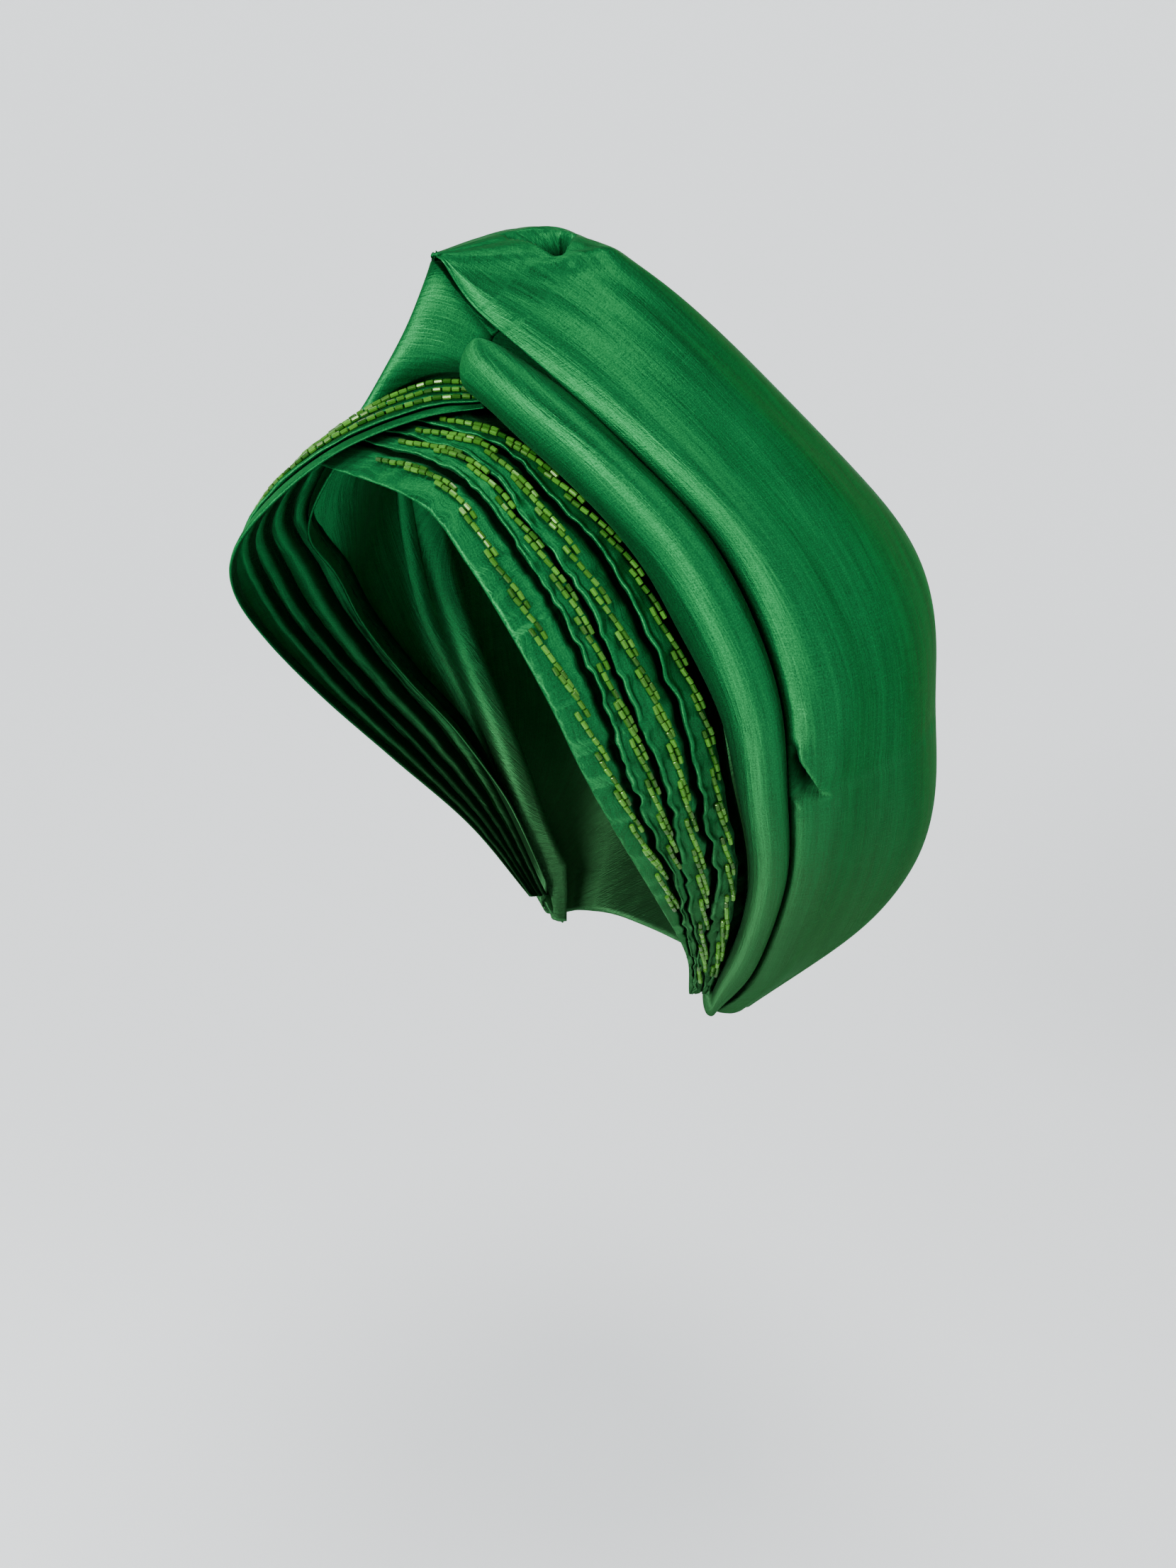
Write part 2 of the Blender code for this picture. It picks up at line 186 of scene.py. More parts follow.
def satinCloth(name, look):
    # taffeta: fine threads both ways, slubs and long streaks along the cloth, a satin gloss
    made, tree, shader = newMaterial(name)
    cloth = addNode(tree, "ShaderNodeUVMap", {"uv_map": "cloth"}).outputs["UV"]

    def threads(scale, detail):
        place = addNode(tree, "ShaderNodeMapping", in0=cloth, in3=scale)
        return addNode(tree, "ShaderNodeTexNoise", {"noise_dimensions": "2D"}, Vector=place.outputs[0],
                       Scale=1.0, Detail=detail, Roughness=0.6).outputs["Fac"]

    def weigh(value, weight, rest):
        return addNode(tree, "ShaderNodeMath", {"operation": "MULTIPLY_ADD"}, in0=value, in1=weight,
                       in2=rest).outputs[0]

    slubs = threads((look["slubLength"], look["slubWidth"], 1), 3.0)
    streaks = threads((look["streakLength"], look["streakWidth"], 1), 2.0)
    crossing = threads((look["thread"], look["threadLength"], 1), 1.0)
    lengthwise = threads((look["threadLength"], look["thread"], 1), 1.0)
    grain = threads((look["grain"], look["grain"], 1), 0.0)
    tone = weigh(grain, look["grainTone"], look["toneLevel"])
    tone = weigh(crossing, look["threadTone"], tone)
    tone = weigh(streaks, look["streakTone"], tone)
    tone = weigh(slubs, look["slubTone"], tone)
    colour = addNode(tree, "ShaderNodeMix", {"data_type": "RGBA", "clamp_factor": True}, in0=tone,
                     in6=look["dark"], in7=look["light"])
    # painted shade: darker towards the lower rim, and darker deep in the folds
    place = addNode(tree, "ShaderNodeTexCoord").outputs["Object"]
    height = addNode(tree, "ShaderNodeSeparateXYZ", in0=place).outputs["Z"]
    # painted shade towards the lower rim
    low = fade(tree, height, look["lowShadeFrom"], look["lowShadeTo"], 0.0, look["lowShade"])
    lowShade = addNode(tree, "ShaderNodeMix", {"data_type": "RGBA"}, in0=low, in6=colour.outputs[2],
                   in7=look["lowShadeTint"])
    # painted shade deep in the folds, from the fold attribute
    fold = addNode(tree, "ShaderNodeAttribute", {"attribute_name": "fold"}).outputs["Fac"]
    foldShaded = addNode(tree, "ShaderNodeMix", {"data_type": "RGBA", "blend_type": "MULTIPLY"}, in0=fold,
                   in6=lowShade.outputs[2], in7=look["foldShadeTint"])
    tree.links.new(foldShaded.outputs[2], shader.inputs["Base Color"])
    change = look["roughnessChange"]
    tree.links.new(weigh(slubs, change, look["roughness"] - change / 2), shader.inputs["Roughness"])
    weave = addNode(tree, "ShaderNodeMath", {"operation": "MAXIMUM"}, in0=lengthwise, in1=crossing)
    fine = addNode(tree, "ShaderNodeBump", Strength=1.0, Distance=look["weaveDepth"],
                   Height=weave.outputs[0])
    coarse = addNode(tree, "ShaderNodeBump", Strength=1.0, Distance=look["slubDepth"], Height=slubs,
                     Normal=fine.outputs[0])
    tree.links.new(coarse.outputs[0], shader.inputs["Normal"])
    # the crosswise threads shine: the gloss runs on along the cloth and is narrow across it
    along = addNode(tree, "ShaderNodeTangent", {"direction_type": "UV_MAP", "uv_map": "cloth"})
    tree.links.new(along.outputs[0], shader.inputs["Tangent"])
    for socket, part in (("Metallic", "metallic"), ("Anisotropic", "anisotropic"),
                         ("Specular IOR Level", "specular"), ("Specular Tint", "edgeTint"),
                         ("Sheen Weight", "sheen"), ("Sheen Roughness", "sheenRoughness"),
                         ("Sheen Tint", "sheenTint")):
        shader.inputs[socket].default_value = look[part]
    return made


bugleGlass = {
    "deep": (0.006, 0.044, 0.003, 1), "pale": (0.050, 0.190, 0.016, 1),
    "roughness": 0.19, "roughnessChange": 0.12, "cloudScale": 900.0,
    "ior": 1.50, "specular": 0.36, "gleam": (0.75, 1.0, 0.45, 1),
}


def beadGlass(name, look):
    # glossy glass, each bead with its own tint
    made, tree, shader = newMaterial(name)
    tint = addNode(tree, "ShaderNodeAttribute", {"attribute_name": "tint"}).outputs["Fac"]
    colour = addNode(tree, "ShaderNodeMix", {"data_type": "RGBA"}, in0=tint, in6=look["deep"],
                     in7=look["pale"])
    tree.links.new(colour.outputs[2], shader.inputs["Base Color"])
    place = addNode(tree, "ShaderNodeTexCoord").outputs["Object"]
    cloudy = addNode(tree, "ShaderNodeTexNoise", Vector=place, Scale=look["cloudScale"],
                     Detail=1.0).outputs["Fac"]
    change = look["roughnessChange"]
    rough = addNode(tree, "ShaderNodeMath", {"operation": "MULTIPLY_ADD"}, in0=cloudy, in1=change,
                    in2=look["roughness"] - change / 2)
    tree.links.new(rough.outputs[0], shader.inputs["Roughness"])
    shader.inputs["IOR"].default_value = look["ior"]
    shader.inputs["Specular IOR Level"].default_value = look["specular"]
    shader.inputs["Specular Tint"].default_value = look["gleam"]
    return made


emerald = satinCloth("emeraldTaffeta", satin)
lime = beadGlass("limeBugleGlass", bugleGlass)
print("materials made")


# making pieces

def meshObject(name, bm, material):
    mesh = bpy.data.meshes.new(name)
    bm.to_mesh(mesh)
    bm.free()
    made = bpy.data.objects.new(name, mesh)
    bpy.context.scene.collection.objects.link(made)
    mesh.materials.append(material)
    return made


def clothPiece(name, points, thickness, nodes, folds, hand=1, straight=0.5):
    # a sheet of cloth through a grid of points in mm, rows along it and columns across it;
    # folds says how much painted shade each point gets, from 0 to 1, most deep in a fold, and
    # straight how far across the threads follow the rows
    rows, columns = points.shape[:2]
    bm = bmesh.new()
    cloth = bm.loops.layers.uv.new("cloth")
    fold = bm.verts.layers.float.new("fold")
    verts = bmesh.ops.create_grid(bm, x_segments=rows - 1, y_segments=columns - 1, size=0.5)["verts"]
    along = arcs(points[:, columns // 2])
    across = arcs(points.swapaxes(0, 1)).T
    across = across - across[:, int(columns * straight), None]
    places = {}
    for vert in verts:
        row = round((vert.co.x + 0.5) * (rows - 1))
        column = round((vert.co.y + 0.5) * (columns - 1))
        places[vert] = (along[row] * mm, across[row, column] * mm)
        vert.co = points[row, column] * mm
        # the painted shade of this point
        vert[fold] = float(folds[row, column])
    for face in bm.faces:
        face.smooth = True
        for loop in face.loops:
            loop[cloth].uv = places[loop.vert]
    centre = len(bm.faces) // 2
    bm.faces.ensure_lookup_table()
    bm.normal_update()
    wanted = outward(points, hand)[rows // 2, columns // 2]
    if bm.faces[centre].normal.dot(Vector(wanted)) < 0:
        bmesh.ops.reverse_faces(bm, faces=bm.faces)
    made = meshObject(name, bm, emerald)
    wall = made.modifiers.new("thickness", "SOLIDIFY")
    wall.thickness = thickness * mm
    wall.offset = -1.0
    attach(made, "root")
    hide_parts(*nodes)
    print(name, "made,", rows, "by", columns)
    return made


# the wearer's left and right sides in mm, a value for each station from the front knot round
# the ear to the nape
leftSide = {
    "hand": 1, "tailRun": 160.0, "tailBend": 1600.0,
    "endRun": 95.0, "endWay": (-1.0, -0.1, 0.75), "endTurn": 15.2,
    "edge": [(-12, -51, 121), (37, -46, 115), (55, -41, 100), (68, -35, 81), (76, -28, 62),
             (79, -20, 43), (79, -8, 22), (70, 16, -10), (58, 39, -40), (50, 47.5, -60)],
    "seam": [(10, -17, 147), (33, -11, 134), (58, -5, 118), (71, 5, 101), (80, 15, 78),
             (84, 28, 52), (84, 36, 27), (79, 47, -4), (69, 52, -33), (53, 56, -62)],
    "valley": [(22, -12, 162), (58, -8, 146), (80, 1, 129), (93, 15, 110), (100, 28, 86),
               (102.4, 38.8, 58), (100, 45.8, 27), (91.3, 55.2, -8), (73.3, 59.2, -45.5), (51, 60, -71.5)],
    "tuck": [12, 4.5, 2, 1, 1, 1, 1, 1, 1, 0.5],
    "lift": [0.6, 1, 1, 1, 1, 1, 1, 0.9, 0.7, 0.4],
}
rightSide = {
    "hand": -1, "tailRun": 0.0, "tailBend": 0.0,
    "endRun": 0.0, "endWay": (-1.0, 0.0, 0.0), "endTurn": 24.0,
    "edge": [(22, -13, 138), (12, -29, 135), (2, -51, 126), (-12, -66, 111), (-30, -72, 94),
             (-52, -64, 76), (-68, -47, 55), (-78, -22, 28), (-77, 5, 0), (-66, 32, -30),
             (-52, 50, -60)],
    "seam": [(10, -8, 146), (-8, -16, 144), (-22, -31, 133), (-40, -36, 118), (-61, -34, 97),
             (-78, -16, 77), (-87, -2, 55), (-90, 18, 28), (-87, 38, 2), (-75, 50, -27),
             (-53, 56, -62)],
    "top": [(24, -11, 159), (9.5, -13.5, 171), (-2.5, -14.5, 180), (-14, -10, 172), (-36, -3, 156),
            (-64, 7, 132), (-88, 18, 98), (-98, 31, 52), (-95, 46, 14), (-80, 55, -30),
            (-50, 58, -71)],
    "arch": [1, 1.5, -0.5, -10, -10, -3, 3, 4, 3, 2, 1],
    "tuck": [1] * 11,
    "lift": [0.4, 0.5, 0.6, 0.9, 1, 1, 1, 1, 0.9, 0.6, 0.3],
}

# pleated bands

leftBand = {
    "rows": 380, "steps": 2, "headRadius": 85.0, "thickness": 0.35, "start": -0.05, "over": -0.4,
    "flatLength": 0.30, "gap": [0, 0, 0, 0.3, 0.8, 1.8, 3.0, 3.0, 1.5, 0],
    "folds": [
        (0.28, 0.36, 0.36, 0.34, 0.30, 0.25, 0.23, 0.22, 0.12, 0.12),
        (0.43, 0.56, 0.53, 0.51, 0.47, 0.44, 0.42, 0.32, 0.22, 0.22),
        (0.60, 0.80, 0.81, 0.80, 0.77, 0.71, 0.67, 0.60, 0.46, 0.46),
    ],
    "pucker": (0.35, 0.9, 1.0, 0.9), "puckerLength": 6.5, "puckerGrowth": 1.0,
    # shade: how strong the painted shade under the folded edges is
    "crease": 0.6, "shade": 1.0, "seed": 11,
}
rightBand = {
    "rows": 380, "steps": 2, "headRadius": 85.0, "thickness": 0.35, "start": 0.0, "over": 1.6,
    "flatLength": 0.30, "gap": [0] * 11,
    "folds": [
        (0.16, 0.17, 0.18, 0.22, 0.27, 0.30, 0.30, 0.28, 0.25, 0.20, 0.15),
        (0.36, 0.38, 0.40, 0.45, 0.50, 0.52, 0.52, 0.50, 0.46, 0.42, 0.36),
        (0.58, 0.60, 0.62, 0.68, 0.75, 0.78, 0.78, 0.75, 0.70, 0.66, 0.60),
    ],
    "pucker": (0.2, 0.4, 0.4, 0.4), "puckerLength": 8.0, "puckerGrowth": 0.3,
    # shade: how strong the painted shade under the folded edges is
    "crease": 0.2, "shade": 0.8, "seed": 31,
}
pleats = {
    # the width in mm from which a pleat's edge is full, its least size and its least width
    "fullWidth": 11, "leastSize": 0.25, "leastShare": 0.02,
    # how far the folded edges wander, and how much what lies above a height swells
    "sway": 0.7, "swell": 0.22, "swellAbove": 1.85,
    # small creases in what lies above a height, and how far they reach from both edges
    "creaseLength": 3.4, "creaseSlant": 5, "creaseWidth": 7, "creaseAbove": 0.95,
    "frontReach": 5, "backReach": 4, "backShare": 0.8,
    # painted shade: the cloth is painted darker from a height down, where it lies low under a folded edge
    "shadeBelow": 1.25, "shadeDepth": 1.4,
}
pleatSection = [
    # one pleat from under its folded edge to under the next: mm behind its fold, share of its
    # width, height in mm
    (4.5, 0.0, 0.9), (1.2, 0.0, 0.9), (0.1, 0.0, 1.3), (-0.25, 0.0, 2.0), (0.3, 0.0, 2.6),
    (1.2, 0.0, 2.55), (2.2, 0.0, 1.8), (0.0, 0.35, 1.9), (0.0, 0.65, 1.7), (-2.6, 1.0, 1.1),
    (-1.1, 1.0, -0.2), (0.8, 1.0, -0.5), (4.5, 1.0, -0.4),
]
hemSection = [
    (5.0, 0.0, 0.0), (1.0, 0.0, 0.0), (0.0, 0.0, 0.4), (-0.1, 0.0, 0.9), (0.4, 0.0, 1.25),
    (1.4, 0.0, 1.4), (2.4, 0.0, 1.4), (0.0, 0.35, 1.5), (0.0, 0.65, 1.4), (-2.6, 1.0, 1.0),
    (-1.1, 1.0, -0.2), (0.8, 1.0, -0.5), (4.5, 1.0, -0.4),
]
# the last pleat dips into the gap in front of the cloth behind it, from one knot on
hiddenTail = [(-3.4, 1.0, 1.3), (-1.6, 1.0, -0.3), (0.8, 1.0, -1.0), (4.5, 1.0, -1.0)]
tailFrom = 9
visible = slice(3, 11)  # the knots between one folded edge and the next


def pleatKnots(number, last):
    section = pleatSection if number else hemSection
    return section[:tailFrom] + hiddenTail if number == last else section


def bandLines(side, look, t):
    # what every point of a band is measured from at t
    edge, seam, across, out = stripFrame(side, "edge", "seam", t)
    tuck = spline(side["tuck"], t)
    back = seam - out * tuck + across * look["over"]
    width = np.linalg.norm(back - edge, axis=-1)
    run = arcs((edge + back) / 2)
    lift = spline(side["lift"], t)[:, 0]
    pucker = 1 + look["puckerGrowth"] * np.clip(t, 0, 1)
    folds = [np.zeros_like(t)]
    # each fold reads its own place in the ripples
    for number, shares in enumerate(look["folds"], 1):
        sway = ripple(run / look["puckerLength"], number * 7.3, look["seed"]) \
            + 0.5 * ripple(run / look["puckerLength"] * 2.3, number * 3.1, look["seed"] + 5)
        folds.append(spline(shares, t)[:, 0]
                     + pleats["sway"] * sway * pucker * look["pucker"][number] / width)
    folds.append(np.ones_like(t))
    folds = np.maximum(np.stack(folds), np.arange(len(folds))[:, None] * pleats["leastShare"])
    return {"edge": edge, "back": back, "out": out, "width": width, "run": run, "lift": lift,
            "pucker": pucker, "folds": folds, "gap": spline(look["gap"], t)[:, 0]}


def bandPlace(lines, look, distance, height):
    # a point of the band at a distance from its lower edge and a height over the head
    width = lines["width"]
    share = distance / width
    bow = width ** 2 / look["headRadius"] / 2 * share * (1 - share)
    return lines["edge"] + (lines["back"] - lines["edge"]) * share[:, None] \
        + lines["out"] * (bow + height)[:, None]


def pleatedBand(name, side, look, nodes):
    t = np.linspace(look["start"], 1, look["rows"])
    lines = bandLines(side, look, t)
    width, run, lift, folds = (lines[part] for part in ("width", "run", "lift", "folds"))
    knots, deep = [], []
    last = len(folds) - 2
    for number in range(last + 1):
        start, length = folds[number] * width, (folds[number + 1] - folds[number]) * width
        small = np.clip(length / pleats["fullWidth"], pleats["leastSize"], 1)
        strength = look["pucker"][number] * lines["pucker"]
        swell = 1 + pleats["swell"] * strength * ripple(run / look["puckerLength"] * 1.3, number * 5.1,
                                                        look["seed"] + 1)
        for index, (offset, share, height) in enumerate(pleatKnots(number, last)):
            place = offset * small + share * length
            if number == last and index >= tailFrom:
                place, height = place - lines["gap"], height - lines["gap"] * 0.5
            near = np.exp(-np.abs(place) / pleats["frontReach"]) \
                + pleats["backShare"] * np.exp(-np.abs(length - place) / pleats["backReach"])
            crease = ripple(run / pleats["creaseLength"] + place / pleats["creaseSlant"],
                            place / pleats["creaseWidth"] + number * 9, look["seed"] + 2)
            tall = height * lift * np.where(height > pleats["swellAbove"], swell, 1)
            tall = tall + look["crease"] * crease * near * strength * lift \
                * (height > pleats["creaseAbove"])
            knots.append(bandPlace(lines, look, start + place, tall))
            # painted shade under the folded edges, weighed by the band's shade
            shade = np.clip(look["shade"] * (pleats["shadeBelow"] - height) / pleats["shadeDepth"], 0, 1)
            deep.append(np.broadcast_to(shade, t.shape)[:, None])
    points = splineAcross(np.stack(knots, 1), look["steps"])
    dark = np.clip(splineAcross(np.stack(deep, 1), look["steps"])[..., 0], 0, 1)
    made = clothPiece(name, points, look["thickness"], nodes, dark, side["hand"])


def bandHeight(lines, share):
    # height of the band's visible cloth over the head at a share of its width
    width, lift, folds = lines["width"], lines["lift"], lines["folds"]
    height = np.zeros_like(share)
    for number in range(len(folds) - 1):
        section = (pleatSection if number else hemSection)[visible]
        start, length = folds[number] * width, (folds[number + 1] - folds[number]) * width
        small = np.clip(length / pleats["fullWidth"], pleats["leastSize"], 1)
        for index in np.nonzero((share >= folds[number]) & (share <= folds[number + 1] + 1e-6))[0]:
            places = [o * small[index] + s * length[index] for o, s, h in section]
            heights = [h * lift[index] for o, s, h in section]
            height[index] = np.interp(share[index] * width[index] - start[index], places, heights)
    return height


# bead rows

beads = {
    "length": 2.75, "shortest": 0.86, "longest": 1.04, "width": 1.5, "sides": 8, "edge": 0.16,
    "gap": 0.2, "sunk": 0.05, "tilt": 0.04, "loose": 0.06, "samples": 900, "seed": 5,
    # how many beads a strand has, and how far on the next one starts where they overlap
    "strand": 7, "step": 4.5, "stepChange": 0.5, "aside": 1.2, "asideChange": 0.2, "raise": 0.25,
}
leftRows = [
    # share of the band's width at each station, start and end as shares of the band's length
    ((0.18, 0.22, 0.17, 0.14, 0.14, 0.14, 0.14, 0.14, 0.05, 0.05), 0.045, 0.80),
    ((0.36, 0.50, 0.47, 0.43, 0.39, 0.36, 0.34, 0.28, 0.15, 0.15), 0.040, 0.74),
    ((0.50, 0.70, 0.66, 0.62, 0.61, 0.58, 0.54, 0.47, 0.33, 0.34), 0.035, 0.965),
    ((0.72, 0.90, 0.92, 0.93, 0.91, 0.86, 0.81, 0.77, 0.69, 0.70), 0.030, 0.96),
]
rightRows = [
    ((0.26, 0.28, 0.30, 0.33, 0.37, 0.40, 0.40, 0.38, 0.34, 0.30, 0.26), 0.0, 0.88),
    ((0.46, 0.49, 0.52, 0.56, 0.60, 0.62, 0.62, 0.60, 0.56, 0.52, 0.46), 0.0, 0.92),
    ((0.68, 0.71, 0.74, 0.80, 0.86, 0.88, 0.88, 0.86, 0.82, 0.78, 0.70), 0.0, 0.95),
]


def beadRow(name, side, look, row, overlap, node, seed):
    # strands of bugle beads, sewn down one after another; where they overlap, each new
    # strand starts below the last one and ends above the next
    shares, start, end = row
    t = np.linspace(start, end, beads["samples"])
    lines = bandLines(side, look, t)
    share = spline(shares, t)[:, 0]
    centre = bandPlace(lines, look, share * lines["width"], bandHeight(lines, share))
    run = arcs(centre)
    across = unit(lines["back"] - lines["edge"])
    random = np.random.default_rng(beads["seed"] + seed)
    pitch = beads["length"] + beads["gap"]
    bm = bmesh.new()
    tint = bm.verts.layers.float.new("tint")
    begin = 0.0

    def strandPlace(distance, part, shift):
        # a point of the strand, part of the way along it
        at = [float(np.interp(distance, run, centre[:, axis])) for axis in range(3)]
        index = int(np.searchsorted(run, distance).clip(0, len(run) - 1))
        swing = beads["aside"] * (2 * smooth(part) - 1) if overlap else 0.0
        high = beads["width"] / 2 - beads["sunk"] + beads["raise"] * math.sin(math.pi * part)
        return Vector(np.array(at) + across[index] * (swing + shift) + lines["out"][index] * high)

    while begin < run[-1] - pitch:
        number = beads["strand"] + int(random.integers(-1, 2))
        shift = random.uniform(-beads["asideChange"], beads["asideChange"])
        for bead in range(number):
            if begin + (bead + 1) * pitch > run[-1]:
                break
            tail = strandPlace(begin + bead * pitch, bead / number, shift)
            head = strandPlace(begin + (bead + 1) * pitch, (bead + 1) / number, shift)
            ahead = (head - tail).normalized() + Vector(random.normal(0, beads["tilt"], 3))
            ahead.normalize()
            index = int(np.searchsorted(run, begin + (bead + 0.5) * pitch).clip(0, len(run) - 1))
            up = Vector(lines["out"][index])
            up = (up - ahead * up.dot(ahead)).normalized()
            turn = Matrix((ahead.cross(up), up, ahead)).transposed().to_4x4()
            here = (head + tail) / 2 + Vector(random.normal(0, beads["loose"], 3))
            long = beads["length"] * random.uniform(beads["shortest"], beads["longest"])
            made = bmesh.ops.create_cone(bm, cap_ends=True, segments=beads["sides"], depth=long,
                                         radius1=beads["width"] / 2, radius2=beads["width"] / 2)["verts"]
            rims = list({e for v in made for e in v.link_edges if len(e.link_faces) == 2
                         and any(len(f.verts) == beads["sides"] for f in e.link_faces)})
            bevelled = bmesh.ops.bevel(bm, geom=rims, offset=beads["edge"], segments=1, profile=0.5,
                                       affect="EDGES", material=-1)["faces"]
            made = list({v for v in made if v.is_valid} | {v for f in bevelled for v in f.verts})
            spun = Matrix.Rotation(random.uniform(0, 3), 3, "Z")
            bmesh.ops.rotate(bm, verts=made, cent=(0, 0, 0), matrix=spun)
            bmesh.ops.transform(bm, matrix=Matrix.Translation(here) @ turn, verts=made)
            shade = random.uniform(0, 1)
            for vert in made:
                vert[tint] = shade
        change = beads["stepChange"]
        step = beads["step"] + random.uniform(-change, change) if overlap else number
        begin += step * pitch
    bmesh.ops.scale(bm, vec=(mm, mm, mm), verts=bm.verts)
    made = meshObject(name, bm, lime)
    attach(made, "root")
    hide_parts(node)
    print(name, "made,", len(made.data.polygons), "faces")


# the roll of cloth between the left band and the crown

roll = {
    "rows": 260, "columns": 90, "spacing": 1.15, "thickness": 0.9, "flatLength": 0.28, "seed": 41,
    "rise": 0.84, "turn": 48, "inset": 2.6, "skew": 0.22,
    # its rounded ends, as shares of its length, and the square of its least size at each
    "front": 0.042, "frontLeast": 0.01, "hug": 0.6, "tail": 0.03, "tailLeast": 0.1, "end": 1.08,
    "flare": 0.22, "flareFrom": 0.84, "flareOver": 0.16,
    "swell": 0.05, "swellLength": 38, "ripple": 0.018, "rippleLength": 14,
    # painted shade: dark close to both its edges, where it meets the band and the crown
    "shadeLow": 0.17, "shadeHigh": 0.84, "shadeOver": 0.10,
}


def sideRoll():
    t = roll["end"] * np.linspace(0, 1, roll["rows"]) ** roll["spacing"]
    v = np.linspace(0, 1, roll["columns"])
    seam, valley, across, out = stripFrame(leftSide, "seam", "valley", t)
    valley = valley - across * roll["inset"]
    flare = roll["flare"] * smooth((t - roll["flareFrom"]) / roll["flareOver"])
    half = np.linalg.norm(valley - seam, axis=-1) / 2 * (1 + flare)
    front, tail = np.clip(t / roll["front"], 0, 1), np.clip((roll["end"] - t) / roll["tail"], 0, 1)
    size = np.sqrt(np.clip(1 - (1 - front) ** 2, roll["frontLeast"], 1)) \
        * np.sqrt(np.clip(1 - (1 - tail) ** 2, roll["tailLeast"], 1))
    angle = np.radians(180 + roll["turn"] - v * (180 + 2 * roll["turn"]))
    run = arcs((seam + valley) / 2)
    swell = 1 + roll["swell"] * ripple(run[:, None] / roll["swellLength"], v[None] * 2.2, roll["seed"]) \
        + roll["ripple"] * ripple(run[:, None] / roll["rippleLength"], v[None] * 6, roll["seed"] + 1)
    reach = (half * size)[:, None] * np.cos(angle)[None] * np.where(np.cos(angle)[None] > 0, 1, swell)
    rise = (half * size)[:, None] * roll["rise"] * np.sin(angle)[None] * swell
    reach = reach + roll["skew"] * rise
    centre = (seam + valley) / 2 + across * (roll["hug"] * half * (1 - size) * (t < 0.5))[:, None]
    points = centre[:, None] + across[:, None] * reach[..., None] + out[:, None] * rise[..., None]
    # painted shade near both edges
    folds = smooth((roll["shadeLow"] - v) / roll["shadeOver"]) \
        + smooth((v - roll["shadeHigh"]) / roll["shadeOver"])
    folds = np.broadcast_to(folds, points.shape[:2])
    made = clothPiece("side_roll_cloth", points, roll["thickness"], ["side_roll"], folds)


# the smooth cloth of the right side, with the flap in front of the roll

panel = {
    "rows": 220, "columns": 90, "thickness": 0.9, "flatLength": 0.30, "seed": 51,
    "inset": 2.1, "sag": 1.0, "sagLength": 30, "sagWidth": 1.6,
    "topInset": [0.2, 0.2, 0.4, 1.0, 2.1, 2.1, 2.1, 2.1, 2.1, 2.1, 2.1],
    "topReach": [6, 4, 0.5, 2, 6, 6, 6, 6, 6, 6, 6],
    "under": 0.09, "underDepth": 4.2, "underReach": 6.0,
    # painted shadow: dark by the crown's folded edge, near the front, where the fold hangs over the flap
    "shade": 0.95, "shadeFrom": 0.80, "shadeOver": 0.24, "shadeEnd": 0.17, "shadeFade": 0.06,
}


def frontPanel():
    # both its edges run on a little way under the band and under the crown's lip
    t = np.linspace(0, 1, panel["rows"])
    u = np.linspace(-panel["under"], 1 + panel["under"], panel["columns"])
    v, hidden = np.clip(u, 0, 1), (np.clip(-u, 0, 1) - np.clip(u - 1, 0, 1)) / panel["under"]
    seam, top, across, out = stripFrame(rightSide, "seam", "top", t)
    low, high = seam + across * panel["inset"], top - across * spline(panel["topInset"], t)
    arch = spline(rightSide["arch"], t)[:, 0]
    run = arcs((seam + top) / 2)
    waves = ripple(run[:, None] / panel["sagLength"], v[None] * panel["sagWidth"], panel["seed"])
    sag = panel["sag"] * waves * np.sin(np.pi * v)[None]
    bow = arch[:, None] * 4 * (v * (1 - v))[None] + sag \
        - panel["underDepth"] * np.sqrt(np.abs(hidden))[None]
    reach = np.where(u[None] > 1, spline(panel["topReach"], t), panel["underReach"]) * hidden[None]
    points = low[:, None] + (high - low)[:, None] * v[None, :, None] + out[:, None] * bow[..., None] \
        - across[:, None] * reach[..., None]
    # painted shadow of the crown's folded edge on the flap
    folds = panel["shade"] * smooth((u - panel["shadeFrom"]) / panel["shadeOver"])[None] \
        * (1 - smooth((t - panel["shadeEnd"]) / panel["shadeFade"]))[:, None]
    made = clothPiece("front_panel_cloth", points, panel["thickness"], ["front_panel"], folds,
                      rightSide["hand"])


# the crown, a value for each section from the front tip over the back to the nape

